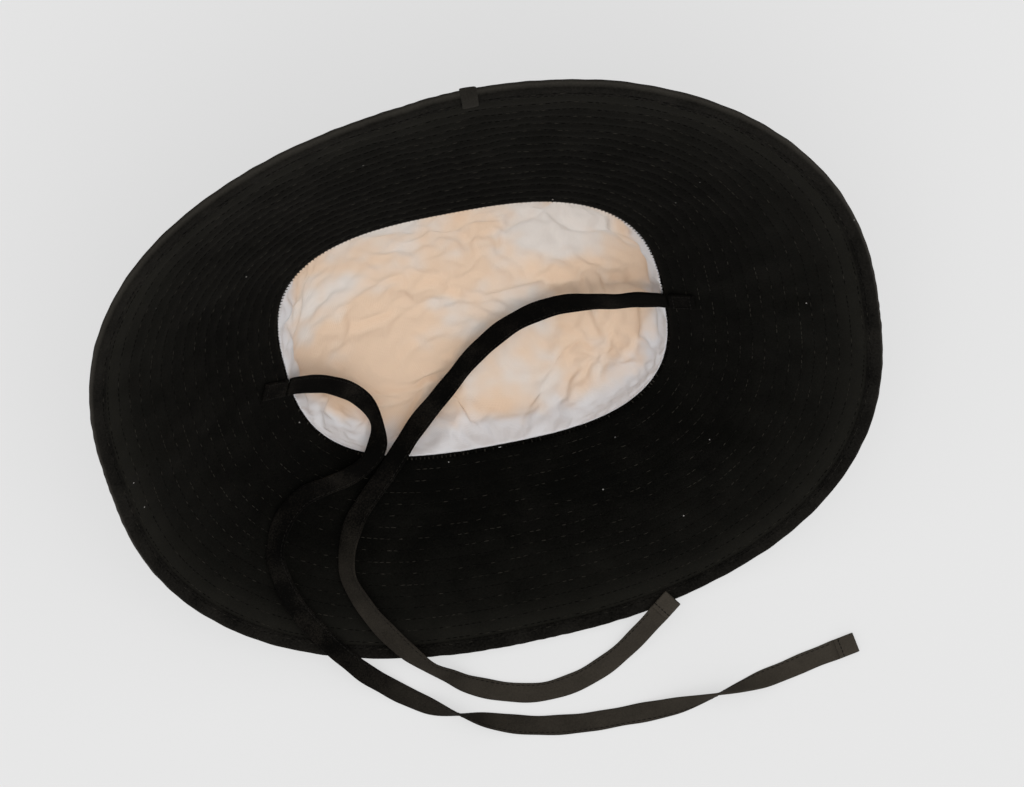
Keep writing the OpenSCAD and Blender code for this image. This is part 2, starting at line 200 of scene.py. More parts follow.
def sums_in(nodes, join):
    """A function that adds a sum to this node tree and gives its result."""
    def sums(operation, a, b, c=None):
        node = nodes.new("ShaderNodeMath")
        node.operation = operation
        for socket, value in zip(node.inputs, (a, b, c)):
            if hasattr(value, "is_linked"):
                join(value, socket)
            elif value is not None:
                socket.default_value = value
        return node.outputs[0]

    return sums


def cloth_group():
    """Nap, weave, lint and a blend between a matt cloth's own darker and lighter colours; on the brim and
    its binding the lighter colour is partly a painted sheen.
    """
    group = bpy.data.node_groups.new("cloth_finish", "ShaderNodeTree")
    face = group.interface
    face.new_socket(name="Fresh", in_out="INPUT", socket_type="NodeSocketColor")
    face.new_socket(name="Lighter", in_out="INPUT", socket_type="NodeSocketColor")
    for name, value in (("Paleness", 0.0), ("Mottle", 0.3), ("Nap Size", 1500.0), ("Lint", 0.0)):
        face.new_socket(name=name, in_out="INPUT", socket_type="NodeSocketFloat").default_value = value
    face.new_socket(name="Color", in_out="OUTPUT", socket_type="NodeSocketColor")
    face.new_socket(name="Roughness", in_out="OUTPUT", socket_type="NodeSocketFloat")
    face.new_socket(name="Height", in_out="OUTPUT", socket_type="NodeSocketFloat")
    nodes, join = group.nodes, group.links.new
    given, out = nodes.new("NodeGroupInput"), nodes.new("NodeGroupOutput")
    coords = nodes.new("ShaderNodeTexCoord").outputs["Object"]

    sums = sums_in(nodes, join)

    def noise(scale, detail):
        node = nodes.new("ShaderNodeTexNoise")
        node.inputs["Detail"].default_value = detail
        join(coords, node.inputs["Vector"])
        if hasattr(scale, "is_linked"):
            join(scale, node.inputs["Scale"])
        else:
            node.inputs["Scale"].default_value = scale
        return node.outputs[0]

    nap = noise(given.outputs["Nap Size"], 3)
    patches = noise(55, 4)
    # The blend towards the lighter colour: random mottling, plus wear and, on the brim and its binding,
    # painted sheen
    paling = sums("MULTIPLY_ADD", sums("SUBTRACT", patches, 0.5), given.outputs["Mottle"],
                given.outputs["Paleness"])
    paling = sums("MULTIPLY_ADD", sums("SUBTRACT", nap, 0.5), given.outputs["Mottle"], paling)
    node = nodes.new("ShaderNodeClamp")
    join(paling, node.inputs[0])
    blend = nodes.new("ShaderNodeMix")
    blend.data_type = "RGBA"
    join(node.outputs[0], blend.inputs["Factor"])
    join(given.outputs["Fresh"], blend.inputs["A"])
    join(given.outputs["Lighter"], blend.inputs["B"])
    cells = nodes.new("ShaderNodeTexVoronoi")
    cells.inputs["Scale"].default_value = 75
    join(coords, cells.inputs["Vector"])
    speck = sums("LESS_THAN", cells.outputs["Distance"], 0.028)
    pick = nodes.new("ShaderNodeSeparateColor")
    join(cells.outputs["Color"], pick.inputs[0])
    speck = sums("MULTIPLY", speck, sums("LESS_THAN", pick.outputs[0], given.outputs["Lint"]))
    lint = nodes.new("ShaderNodeMix")
    lint.data_type = "RGBA"
    lint.inputs["B"].default_value = (0.22, 0.21, 0.2, 1)
    join(speck, lint.inputs["Factor"])
    join(blend.outputs["Result"], lint.inputs["A"])
    join(lint.outputs["Result"], out.inputs["Color"])
    join(sums("MULTIPLY_ADD", nap, -0.12, 0.98), out.inputs["Roughness"])
    join(nap, out.inputs["Height"])
    return group


cloth_finish = cloth_group()


def cloth_material(name, fresh, lighter, paleness, mottle, nap_size, lint, nap_height, sheen, sheen_tint):
    """A matt cloth. Its blend towards the lighter colour is a number, or a function that gives a socket of
    the material.
    """
    material = bpy.data.materials.new(name)
    material.use_nodes = True
    nodes, join = material.node_tree.nodes, material.node_tree.links.new
    shader = nodes["Principled BSDF"]
    finish = nodes.new("ShaderNodeGroup")
    finish.node_tree = cloth_finish
    finish.inputs["Fresh"].default_value = (*fresh, 1)
    finish.inputs["Lighter"].default_value = (*lighter, 1)
    finish.inputs["Mottle"].default_value = mottle
    finish.inputs["Nap Size"].default_value = nap_size
    finish.inputs["Lint"].default_value = lint
    if callable(paleness):
        join(paleness(nodes, join), finish.inputs["Paleness"])
    else:
        finish.inputs["Paleness"].default_value = paleness
    bump = nodes.new("ShaderNodeBump")
    bump.inputs["Distance"].default_value = nap_height
    bump.inputs["Strength"].default_value = 0.7
    join(finish.outputs["Height"], bump.inputs["Height"])
    join(finish.outputs["Color"], shader.inputs["Base Color"])
    join(finish.outputs["Roughness"], shader.inputs["Roughness"])
    join(bump.outputs["Normal"], shader.inputs["Normal"])
    shader.inputs["Specular IOR Level"].default_value = 0.04
    shader.inputs["Sheen Weight"].default_value = sheen
    shader.inputs["Sheen Roughness"].default_value = 0.5
    shader.inputs["Sheen Tint"].default_value = (*sheen_tint, 1)
    return material


def ramp_of(name, along, stops):
    """A mask for the blend towards the lighter colour, from the piece's own map: stops are (place, amount)
    along u or v.
    """
    def paleness(nodes, join):
        uv = nodes.new("ShaderNodeUVMap")
        uv.uv_map = "lie"
        parts = nodes.new("ShaderNodeSeparateXYZ")
        join(uv.outputs[0], parts.inputs[0])
        ramp = nodes.new("ShaderNodeValToRGB")
        ramp.name = name
        line = ramp.color_ramp
        while len(line.elements) < len(stops):
            line.elements.new(0.5)
        for element, (place_on, value) in zip(line.elements, stops):
            element.position = place_on
            element.color = (value, value, value, 1)
        join(parts.outputs[along], ramp.inputs[0])
        return ramp.outputs[0]
    return paleness


# Darker near the roots and paler towards the free ends, along the tape's length
tape_cloth = cloth_material(
    "tie_tape_cloth", fresh=(0.0011, 0.001, 0.0008), lighter=(0.056, 0.048, 0.038),
    paleness=ramp_of("paler_towards_free_end", "X", [(0.0, 0.0), (0.45, 0.03), (0.66, 0.42), (1.0, 0.75)]),
    mottle=0.5, nap_size=1600, lint=0.12, nap_height=0.0002, sheen=0.02,
    sheen_tint=(0.6, 0.54, 0.48))
tape_thread = cloth_material(
    "tie_thread", fresh=(0.003, 0.0028, 0.0024), lighter=(0.03, 0.027, 0.024), paleness=0.2,
    mottle=0.6, nap_size=2500, lint=0.0, nap_height=0.0001, sheen=0.05, sheen_tint=(0.6, 0.55, 0.5))

# Half round the tape's edge: (across, up) of the section, as shares of half the width and
# of half the thickness. The fold is the rounder edge and the stitched edge the thinner one.
tape_outline = [(1.0, 0.0), (0.985, 0.5), (0.94, 0.86), (0.8, 1.0), (0.4, 0.92), (0.0, 0.86),
                (-0.4, 0.86), (-0.72, 0.66), (-0.86, 0.86), (-0.95, 0.72), (-1.0, 0.3),
                (-1.0, -0.3), (-0.95, -0.72), (-0.86, -0.86), (-0.72, -0.66), (-0.4, -0.86),
                (0.0, -0.86), (0.4, -0.92), (0.8, -1.0), (0.94, -0.86), (0.985, -0.5)]
tape_outline = np.array(tape_outline)
stitch_seat = np.array([-0.74, 0.72])
per_span = 10


def half_twists(count, places):
    """Turn of the tape at each of count points that half twists at these places give."""
    turned = np.zeros(count)
    for middle, reach in places:
        f = np.clip((np.arange(count) / per_span - middle) / (2 * reach) + 0.5, 0, 1)
        turned += math.pi * f * f * (3 - 2 * f)
    return turned


def leans_over(count, places):
    """Lean of the tape onto its edge at each of count points, in radians."""
    leaning = np.zeros(count)
    for middle, reach, lean_by in places:
        f = np.clip(1 - np.abs(np.arange(count) / per_span - middle) / reach, 0, 1)
        leaning += math.radians(lean_by) * f * f * (3 - 2 * f)
    return leaning


def tie(side, route, twists, leans):
    """The tape of one tie and its line of edge stitching."""
    line = smooth_route(route, per_span)
    points = line[:, :3].copy()
    turned = half_twists(len(points), twists) + leans_over(len(points), leans)
    # Where the tape stands on its edge in a half twist, it rises off what it lies on
    points[:, 2] += np.abs(np.sin(turned)) * (tape_width - tape_thickness) / 2
    roll = line[:, 3] + turned
    along, across, up = tape_axes(points, roll)
    lengths = np.concatenate([[0], np.cumsum(np.linalg.norm(np.diff(points, axis=0), axis=1))])
    half = np.array([tape_width, tape_thickness]) / 2
    sway = 1 + 0.025 * np.sin(lengths * 310 + len(route)) + 0.02 * np.sin(lengths * 133)
    outline = tape_outline[None] * half * np.stack([sway, np.ones_like(sway)], 1)[:, None]
    sections = points[:, None] + across[:, None] * outline[:, :, :1] + up[:, None] * outline[:, :, 1:]
    share = lengths / lengths[-1]
    uvs = np.stack(np.broadcast_arrays(share[:, None], np.linspace(0, 1, len(tape_outline))[None]), -1)
    tape = swept(f"{side}_tie_tape", sections, uvs)
    tape.data.materials.append(tape_cloth)

    pitch = 0.0026
    marks = np.arange(pitch, lengths[-1] - pitch, pitch)
    rows = []
    for face in (1, -1):
        seat = [np.interp(marks, lengths, points[:, k] + across[:, k] * stitch_seat[0] * half[0]
                          + up[:, k] * stitch_seat[1] * half[1] * face) for k in range(3)]
        out = [np.interp(marks, lengths, up[:, k] * face) for k in range(3)]
        on = [np.interp(marks, lengths, along[:, k]) for k in range(3)]
        rows.append([np.stack(x, 1) for x in (seat, on, out)])
    middles, on, out = (np.concatenate([a, b]) for a, b in zip(*rows))
    thread = sew(f"{side}_tie_edge_stitching", middles, unit(on), unit(out), length=0.0021,
                 width=0.00045, height=0.00022, seed=len(route))
    thread.data.materials.append(tape_thread)
    return tape, thread, points, lengths[-1], along[-1], up[-1]


def tie_hem(side, end, along, up):
    """The tape's end, folded back on itself and caught down with stitches."""
    hem_length = 0.010
    across = np.cross(along, up)
    half = np.array([tape_width, tape_thickness]) / 2
    reaches = np.array([0, 0.02, 0.1, 0.5, 0.86, 0.95, 0.99, 1.0]) * hem_length
    puff = np.array([0.9, 1, 1, 1.03, 1, 0.94, 0.8, 0.55])
    sections = []
    for reach, full in zip(reaches, puff):
        ring = tape_outline * half * [min(1.03, 0.93 + 0.1 * full), 1]
        height = (ring[:, 1] + half[1]) * 2 * full + half[1] * 2 * (1 - full) - half[1]
        height = np.maximum(height, -half[1])
        sections.append(end + along * reach + across * ring[:, :1] + up * height[:, None])
    uvs = np.stack(np.broadcast_arrays(np.full((len(reaches), 1), 1.0),
                                       np.linspace(0, 1, len(tape_outline))[None]), -1)
    hem = swept(f"{side}_tie_folded_end", sections, uvs)
    hem.data.materials.append(tape_cloth)
    places = np.linspace(-0.8, 0.8, 5) * half[0]
    middles = np.array([end + along * hem_length * 0.22 + across * x + up * half[1] * 2.95
                        for x in places])
    thread = sew(f"{side}_tie_end_stitching", middles, np.tile(across, (5, 1)), np.tile(up, (5, 1)),
                 length=0.0017, width=0.0005, height=0.0004, seed=5)
    thread.data.materials.append(tape_thread)
    return hem, thread


tie_lies = (
    ("left", left_route, [(24.6, 1.5), (29.8, 1.9)], [(6.1, 2.4, 62), (14.5, 4, 52)]),
    ("right", right_route, [], [(6.5, 3, 38), (19.5, 4, 55), (25.2, 2.6, 52)]))
for side, route, twists, leans in tie_lies:
    tape, edge_thread, line, measured, along, up = tie(side, route, twists, leans)
    hem, end_thread = tie_hem(side, line[-1], along, up)
    for piece in (tape, edge_thread, hem, end_thread):
        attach(piece, f"{side}_tie")
    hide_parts(f"{side}_tie")
    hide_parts(f"{side}_tie_hem")

# Brim: two faces of black cotton with a short nap over a stiff interlining, quilted
# together by sixteen rows of stitching. It flares out of the head seam and is bent level
# where it meets the table.
head_length, head_width, head_boxiness = 0.184, 0.168, 2.8
brim_bend = 0.012
brim_floor = 0.0025
lean, turn = math.radians(48), math.radians(2)
front_height = 0.034
head_centre = under_head + [0, 0, front_height + head_width / 2 * math.sin(lean)]


def signed_power(x, p):
    return np.sign(x) * np.abs(x) ** p


def head_point(t):
    x, y = np.cos(t), np.sin(t)
    radius = ((np.abs(x) * 2 / head_length) ** head_boxiness
              + (np.abs(y) * 2 / head_width) ** head_boxiness) ** (-1 / head_boxiness)
    return np.stack([radius * x, radius * y, np.zeros_like(x)], -1)


def head_outward(t):
    p = head_point(t)
    k = head_boxiness - 1
    x = signed_power(p[..., 0] * 2 / head_length, k) / head_length
    y = signed_power(p[..., 1] * 2 / head_width, k) / head_width
    return unit(np.stack([x, y, np.zeros_like(x)], -1))


def lean_over(v):
    """A direction of the hat's own frame, as the hat leans on the table."""
    x = v[..., 0] * math.cos(turn) - v[..., 1] * math.sin(turn)
    y = v[..., 0] * math.sin(turn) + v[..., 1] * math.cos(turn)
    z = v[..., 2]
    return np.stack([x, y * math.cos(lean) - z * math.sin(lean),
                     y * math.sin(lean) + z * math.cos(lean)], -1)


def brim_middle(t, s):
    """The middle of the brim at angle t round the head, s out from the head seam."""
    t, s = np.broadcast_arrays(t, s)
    seam = lean_over(head_point(t)) + head_centre
    e = head_outward(t)
    rise = np.radians(22.5 - 6 * np.cos(t) - 5 * np.sin(t) + 2.5 * np.cos(2 * t))
    out = lean_over(np.stack([e[..., 0] * np.cos(rise), e[..., 1] * np.cos(rise), np.sin(rise)], -1))
    level = unit(out * [1, 1, 0])
    past = s - (seam[..., 2] - brim_floor) / np.maximum(-out[..., 2], 0.02)
    bent = np.where(out[..., 2] < -0.02, (past + np.sqrt(past ** 2 + brim_bend ** 2)) / 2, 0)
    return seam + out * (s - bent)[..., None] + level * bent[..., None]


def brim_normal(t, s):
    """Unit normal of the brim, towards the wearer's side."""
    ds, dt = 0.001, math.radians(1)
    return unit(np.cross(brim_middle(t, s + ds) - brim_middle(t, s - ds),
                         brim_middle(t + dt, s) - brim_middle(t - dt, s)))


first_row, row_pitch, stitch_rows = 0.004, 0.0059, 16
row_places = first_row + row_pitch * np.arange(stitch_rows)
off_table = 0.0006


def brim_wave(t, s):
    """Soft unevenness of the whole brim, none where it is sewn to the crown."""
    ease = np.clip(s / 0.05, 0, 1) * np.clip((0.104 - s) / 0.02, 0.25, 1)
    return ease * (0.00045 * np.sin(7 * t + 1.1) * np.cos(42 * s)
                   + 0.00035 * np.sin(12 * t - 70 * s + 0.4)
                   + 0.00022 * np.sin(23 * t + 115 * s + 2.0)
                   + 0.00015 * np.sin(41 * t - 160 * s))


def brim_at(t, s, height):
    """Point of the brim at this height above its middle; none of it passes the table."""
    t, s = np.broadcast_arrays(t, s)
    middle = brim_middle(t, s)
    clear = np.clip((middle[..., 2] - brim_floor - 0.0005) / 0.012, 0, 1)
    lift = height + brim_wave(t, s) * clear
    points = middle + brim_normal(t, s) * lift[..., None]
    points[..., 2] = np.maximum(points[..., 2], 0.0001)
    return points


def quilting(t, s):
    """Height of the cloth between the stitched rows, which pull it in."""
    phase = np.clip((s - row_places[0]) / row_pitch, -0.5, stitch_rows - 0.5)
    swell = 1 - np.abs(np.cos(math.pi * phase)) ** 0.7
    pucker = (np.sin(96 * t + 3 * phase) + np.sin(71 * t - 2 * phase) + np.sin(57 * t + 5 * phase)) / 3
    return 0.00042 * swell + 0.0001 * pucker * (1 - 0.6 * swell) - 0.0001


def flat_grid(name, columns, rows, size):
    """A flat grid with its own map, and the places of its points."""
    bpy.ops.object.select_all(action="DESELECT")
    bpy.ops.mesh.primitive_grid_add(x_subdivisions=columns, y_subdivisions=rows, size=size,
                                    calc_uvs=True)
    piece = bpy.context.object
    piece.name = piece.data.name = name
    piece.data.uv_layers[0].name = "lie"
    return piece, points_of(piece)


def cloth_piece(name, columns, rows, shape, thickness, material, ridden="hat"):
    """A grid shaped to shape(u, v), its edges merged where they meet, given its thickness."""
    piece, flat = flat_grid(name, columns, rows, size=1)
    move_points(piece, shape(flat[:, 0] + 0.5, flat[:, 1] + 0.5))
    bpy.ops.object.mode_set(mode="EDIT")
    bpy.ops.mesh.select_all(action="SELECT")
    bpy.ops.mesh.remove_doubles(threshold=0.00002)
    bpy.ops.mesh.normals_make_consistent(inside=False)
    bpy.ops.object.mode_set(mode="OBJECT")
    wall = piece.modifiers.new("wall", "SOLIDIFY")
    wall.thickness = thickness
    wall.offset = 0
    bpy.ops.object.modifier_apply(modifier="wall")
    bpy.ops.object.shade_smooth_by_angle(angle=math.radians(60))
    piece.data.materials.append(material)
    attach(piece, ridden)
    return piece


# Paler towards the outer edge: partly rubbed nap, partly a painted grazing sheen of the nap
black_cloth = cloth_material(
    "black_napped_cotton", fresh=(0.0009, 0.0009, 0.0006), lighter=(0.026, 0.0245, 0.02),
    paleness=ramp_of("rim_wear_and_sheen", "Y", [(0.0, 0.0), (0.4, 0.03), (0.8, 0.12), (1.0, 0.42)]),
    mottle=0.22, nap_size=1300, lint=0.4, nap_height=0.00025, sheen=0.035,
    sheen_tint=(0.75, 0.68, 0.6))
brim_edges = np.concatenate([[-0.0004, 0.0006, 0.0018, 0.003],
                             np.linspace(row_places[0], row_places[-1], 4 * (stitch_rows - 1) + 1),
                             [0.0940, 0.0958, 0.0978, 0.0996]])
brim_steps = np.linspace(0, 1, len(brim_edges))


def brim_face(side):
    """Shape of the cloth on one side: 1 is the wearer's side, -1 the outside."""
    def shape(u, v):
        t, s = 2 * math.pi * u, np.interp(v, brim_steps, brim_edges)
        tuck = 0.0009 * np.clip(1 - (s + 0.0004) / 0.003, 0, 1) ** 2
        return brim_at(t, s, side * (0.00105 + quilting(t, s) - tuck))
    return shape


brim_columns, face_cloth = 480, 0.0008
under_cloth = cloth_piece("brim_lower_face", brim_columns, len(brim_edges) - 1, brim_face(1),
                          face_cloth, black_cloth)
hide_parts("brim_under_cloth")
top_cloth = cloth_piece("brim_outer_face", brim_columns, len(brim_edges) - 1, brim_face(-1),
                        face_cloth, black_cloth)
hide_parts("brim_top_cloth")
canvas = cloth_material(
    "grey_canvas", fresh=(0.30, 0.29, 0.27), lighter=(0.36, 0.35, 0.33), paleness=0.3, mottle=0.4,
    nap_size=900, lint=0.0, nap_height=0.0002, sheen=0.0, sheen_tint=(1, 1, 1))
stiffener = cloth_piece("brim_stiffening", 240, 24,
                        lambda u, v: brim_at(2 * math.pi * u, 0.001 + 0.098 * v, 0.0),
                        0.0008, canvas)
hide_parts("brim_interlining")

# Brim stitching: sixteen rows of black machine stitches, about three to a centimetre,
# on both faces. Each thread is pulled down into the cloth, and rubbed pale here and there.
stitch_pitch, row_height = 0.0032, 0.00145
brim_thread = cloth_material(
    "black_sewing_thread", fresh=(0.0018, 0.0017, 0.0013), lighter=(0.034, 0.031, 0.025),
    paleness=0.0, mottle=0.25, nap_size=2600, lint=0.0, nap_height=0.0001, sheen=0.01,
    sheen_tint=(0.75, 0.7, 0.62))


def paler_threads(material, start, reach):
    """Makes the threads with the highest tone the palest, the most rubbed."""
    nodes, join = material.node_tree.nodes, material.node_tree.links.new
    finish = next(n for n in nodes if n.type == "GROUP")
    tone = nodes.new("ShaderNodeAttribute")
    tone.attribute_name = "tone"
    scale = nodes.new("ShaderNodeMapRange")
    scale.inputs["From Min"].default_value = start
    scale.inputs["From Max"].default_value = 1.0
    scale.inputs["To Max"].default_value = reach
    join(tone.outputs["Fac"], scale.inputs["Value"])
    join(scale.outputs[0], finish.inputs["Paleness"])


paler_threads(brim_thread, 0.5, 0.8)


def spaced_round(line, pitch):
    """Angles at which stitches of this pitch sit on a closed line(t)."""
    t = np.linspace(0, 2 * math.pi, 1441)
    points = line(t)
    lengths = np.concatenate([[0], np.cumsum(np.linalg.norm(np.diff(points, axis=0), axis=1))])
    count = round(lengths[-1] / pitch)
    return np.interp((np.arange(count) + 0.5) / count * lengths[-1], lengths, t)


def rows_of_stitches(name, side, places, height, seed, quilted=True):
    """Stitches round the brim on one face at each of these distances from the head seam."""
    middles, along, up = [], [], []
    for s in places:
        t = spaced_round(lambda a: brim_at(a, s, 0.0), stitch_pitch)
        level = side * (height + quilting(t, s)) if quilted else np.full(len(t), side * height)
        at = brim_at(t, s, level)
        shown = at[:, 2] > off_table
        t, at = t[shown], at[shown]
        middles.append(at)
        along.append(unit(brim_at(t + 0.004, s, 0.0) - brim_at(t - 0.004, s, 0.0)))
        up.append(side * brim_normal(t, np.full(len(t), s)))
    thread = sew(name, np.concatenate(middles), np.concatenate(along), np.concatenate(up),
                 length=0.0026, width=0.00055, height=0.0003, seed=seed)
    thread.data.materials.append(brim_thread)
    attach(thread, "hat")
    return thread


lower_rows = rows_of_stitches("brim_lower_stitches", 1, row_places, row_height, seed=11)
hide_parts("brim_stitching")
rows_of_stitches("brim_outer_stitches", -1, row_places, row_height, seed=12)

# Edge binding: a bias strip of the same cotton, folded round the brim's edge and stitched
# through both faces. Its outer fold is painted a brown grey: partly rubbed wear, partly a painted grazing
# sheen of the nap.
binding_inner, binding_cloth = 0.0017, 0.0007
binding_back, binding_edge = 0.094, 0.1004
binding_row, binding_row_height = 0.0956, 0.0022
# Painted grazing sheen and rubbed wear, strongest on the outer fold
binding_wear_and_sheen = cloth_material(
    "binding_cotton_wear_and_sheen", fresh=(0.0014, 0.0013, 0.001), lighter=(0.034, 0.031, 0.026),
    paleness=ramp_of("fold_wear_and_sheen", "Y", [(0.0, 0.06), (0.34, 0.2), (0.5, 0.85), (0.66, 0.2), (1.0, 0.06)]),
    mottle=0.5, nap_size=1100, lint=0.35, nap_height=0.0003, sheen=0.04,
    sheen_tint=(0.75, 0.68, 0.6))


def binding_section(t, back, swell):
    """Ring of points round the folded strip at angle t."""
    outer = binding_inner + binding_cloth
    nose = [(binding_edge - 0.0004 + 0.0011 * math.cos(a), outer * math.sin(a))
            for a in np.radians([62, 38, 14, -14, -38, -62])]
    ring = [(back, outer - 0.0001), (back + 0.0004, outer + 0.0001), (back + 0.0016, outer - 0.0002),
            (back + 0.0035, outer + 0.0001), (binding_edge - 0.0008, outer)]
    outside = ring + nose + [(s, -h) for s, h in reversed(ring)]
    inside = [(back + 0.0001, -binding_inner + 0.0001), (binding_edge - 0.001, -binding_inner),
              (binding_edge - 0.001, binding_inner), (back + 0.0001, binding_inner - 0.0001)]
    return [brim_at(t, s + swell * 0.25 * (s > 0.1), np.asarray(h * (1 + 60 * swell)))
            for s, h in outside + inside]


angles = 2 * math.pi * np.arange(brim_columns) / brim_columns
ripple = (0.00045 * np.sin(61 * angles + 2 * np.sin(9 * angles)) * np.sin(17 * angles + 0.5)
          + 0.00025 * np.sin(113 * angles))
rings = [binding_section(t, binding_back, swell) for t, swell in zip(angles, ripple)]
across_strip = list(np.linspace(0, 1, 16)) + [0.98, 0.52, 0.48, 0.02]
ring_uvs = [[(t / (2 * math.pi), v) for v in across_strip] for t in angles]
binding = swept("brim_edge_binding", rings, ring_uvs, closed_round=True)
binding.data.materials.append(binding_wear_and_sheen)
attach(binding, "hat")
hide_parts("brim_binding")
rows_of_stitches("binding_lower_stitches", 1, [binding_row], binding_row_height, seed=13, quilted=False)
rows_of_stitches("binding_outer_stitches", -1, [binding_row], binding_row_height, seed=14, quilted=False)

# The binding's end: turned under and lapped over the strip's start at the back of the hat,
# where it wraps the edge as a thicker tab.
lap_angle, lap_length = math.radians(80), 0.011
edge_radius = 0.185
lap_span = lap_length / edge_radius
lap_ts = lap_angle - lap_span * np.array([0, 0.04, 0.1, 0.3, 0.5, 0.7, 0.9, 0.96, 1.0])
lap_under, lap_swell = 0.003, 1.5
lap_height = np.array([0.5, 0.9, 1, 1.05, 1, 0.9, 0.7, 0.4, 0.1]) * binding_cloth
lap_rings = []
for t, full in zip(lap_ts, lap_height * lap_swell):
    over = lap_under + full
    section = [(0.0939, over - full * 0.3), (0.0946, over), (0.0985, over), (0.1006, over * 0.8),
               (0.1014, 0), (0.1006, -over * 0.8), (0.0985, -over), (0.0946, -over),
               (0.0939, -over + full * 0.3), (0.0939, -lap_under), (0.098, -lap_under),
               (0.1002, -lap_under * 0.7), (0.1006, 0), (0.1002, lap_under * 0.7),
               (0.098, lap_under), (0.0939, lap_under)]
    lap_rings.append([brim_at(t, s, np.asarray(h)) for s, h in section])
# The tab takes the binding's paler colour from partway up the fold: rubbed wear and a painted grazing
# sheen
lap_uvs = [[(0.5, 0.43)] * len(lap_rings[0]) for t in lap_ts]
lap = swept("binding_lapped_end", lap_rings, lap_uvs)
lap.data.materials.append(binding_wear_and_sheen)
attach(lap, "hat")
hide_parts("binding_lap")

# Crown: two side pieces seamed at front and back and an oval tip, of the same black
# cotton without interlining. It is soft, so it creases and flattens on the table.
crown_cloth = 0.0012
crown_settle = 0.004


def settle(z, floor_z):
    """z, eased to lie flat at floor_z."""
    u = z - floor_z
    eased = floor_z + (u + crown_settle) ** 2 / (4 * crown_settle)
    return np.where(u >= crown_settle, z, np.where(u <= -crown_settle, floor_z, eased))


def dome(t, a, outset, start, depth, boxiness, floor_z):
    """A bag below the head opening: a is 0 at the head seam and a right angle at its bottom."""
    p = head_point(t) + outset * head_outward(t)
    c = np.maximum(np.cos(a), 0) ** (2 / boxiness)
    s = signed_power(np.sin(a), 2 / boxiness)
    w = lean_over(np.stack([p[..., 0] * c, p[..., 1] * c, -start - (depth - start) * s], -1)) + head_centre
    w[..., 2] = settle(w[..., 2], floor_z)
    return w


def crown_middle(t, a):
    return dome(t, a, crown_cloth / 2, 0.0018, 0.094, 4, crown_cloth / 2)


tip_angle = math.radians(50)


def crown_creases(t, a):
    """Depth of the soft creases and of the seams that draw the cloth in."""
    loose = np.sin(2 * np.clip(a, 0, math.pi / 2)) ** 0.8
    folds = (0.0011 * np.sin(5 * t + 6 * a) * np.sin(3 * t - 4 * a + 1)
             + 0.0007 * np.sin(11 * t - 9 * a + 0.6) * np.sin(7 * a + 2 * t)
             + 0.0004 * np.abs(np.sin(17 * t + 13 * a)) ** 3 * np.sin(4 * t + 1))
    seam_dip = np.exp(-((a - tip_angle) * 60) ** 2)
    for seam in (math.pi / 2, 3 * math.pi / 2):
        gap = np.abs((t - seam + math.pi) % (2 * math.pi) - math.pi)
        seam_dip = np.maximum(seam_dip, np.exp(-(gap * 45) ** 2) * (a < tip_angle))
    pucker = np.exp(-((a - tip_angle) * 25) ** 2) * np.sin(64 * t) * 0.00025
    return folds * loose + pucker - 0.0007 * seam_dip


def crown_shape(from_t, to_t, from_a, to_a):
    def shape(u, v):
        t = from_t + (to_t - from_t) * u
        a = np.minimum(from_a + (to_a - from_a) * v, math.pi / 2 - 0.0001)
        da, dt = 0.01, 0.01
        high, low = np.minimum(a + da, math.pi / 2 - 0.0002), np.maximum(a - da, 0)
        normal = np.cross(crown_middle(t, high) - crown_middle(t, low),
                          crown_middle(t + dt, np.minimum(a, 1.52))
                          - crown_middle(t - dt, np.minimum(a, 1.52)))
        size = np.linalg.norm(normal, axis=-1, keepdims=True)
        points = crown_middle(t, a) + normal / np.maximum(size, 1e-12) * crown_creases(t, a)[:, None]
        points[:, 2] = np.maximum(points[:, 2], crown_cloth / 2)
        return points
    return shape


crown_black = cloth_material(
    "black_crown_cotton", fresh=(0.002, 0.002, 0.0015), lighter=(0.026, 0.0245, 0.02), paleness=0.1,
    mottle=0.35, nap_size=1300, lint=0.25, nap_height=0.00025, sheen=0.03,
    sheen_tint=(0.75, 0.68, 0.6))
quarter = math.pi / 2
for name, node, from_t, to_t in (("crown_left_side", "crown_side_left", quarter, 3 * quarter),
                                 ("crown_right_side", "crown_side_right", 3 * quarter, 5 * quarter)):
    side_piece = cloth_piece(name, 160, 60, crown_shape(from_t, to_t, 0.0, tip_angle), crown_cloth,
                             crown_black)
    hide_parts(node)
tip = cloth_piece("crown_oval_tip", 320, 50, crown_shape(0, 2 * math.pi, tip_angle, quarter),
                  crown_cloth, crown_black)
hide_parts("crown_tip")
for node in ("crown_tip_seam", "head_seam_allowance"):
    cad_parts[node].data.materials.clear()
    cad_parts[node].data.materials.append(crown_black)

# Lining: a bag of thin peach cotton, cut larger than the crown and sewn in along the head
# seam only. It is puffed up inside the opening, so it is slack and creased all over.
lining_cloth = 0.0005
lining_outset, lining_start, lining_depth, lining_boxiness = -0.0018, 0.0015, 0.036, 2.2
lining_half, slack, grid_steps = 0.086, 0.14, 80
crumple_height = 0.0036
bed_deeper, bed_outset, bed_steps = 0.009, 0.0022, 60
slump_frames = 45


def lining_point(x, y, deeper, outset):
    """Point of the bag for a place on a square cloth, x and y from -1 to 1."""
    u, v = x * np.sqrt(1 - y * y / 2), y * np.sqrt(1 - x * x / 2)
    reach, t = np.hypot(u, v), np.arctan2(v, u)
    steps = np.linspace(0, math.pi / 2, 400)
    profile = np.stack([lining_half * np.cos(steps) ** (2 / lining_boxiness),
                        lining_depth * np.sin(steps) ** (2 / lining_boxiness)], 1)
    run = np.concatenate([[0], np.cumsum(np.linalg.norm(np.diff(profile, axis=0), axis=1))])
    a = np.interp((1 - reach) * run[-1], run, steps)
    return dome(t, a, lining_outset + outset, lining_start, lining_depth + deeper,
                lining_boxiness, crown_cloth + 0.0003), reach


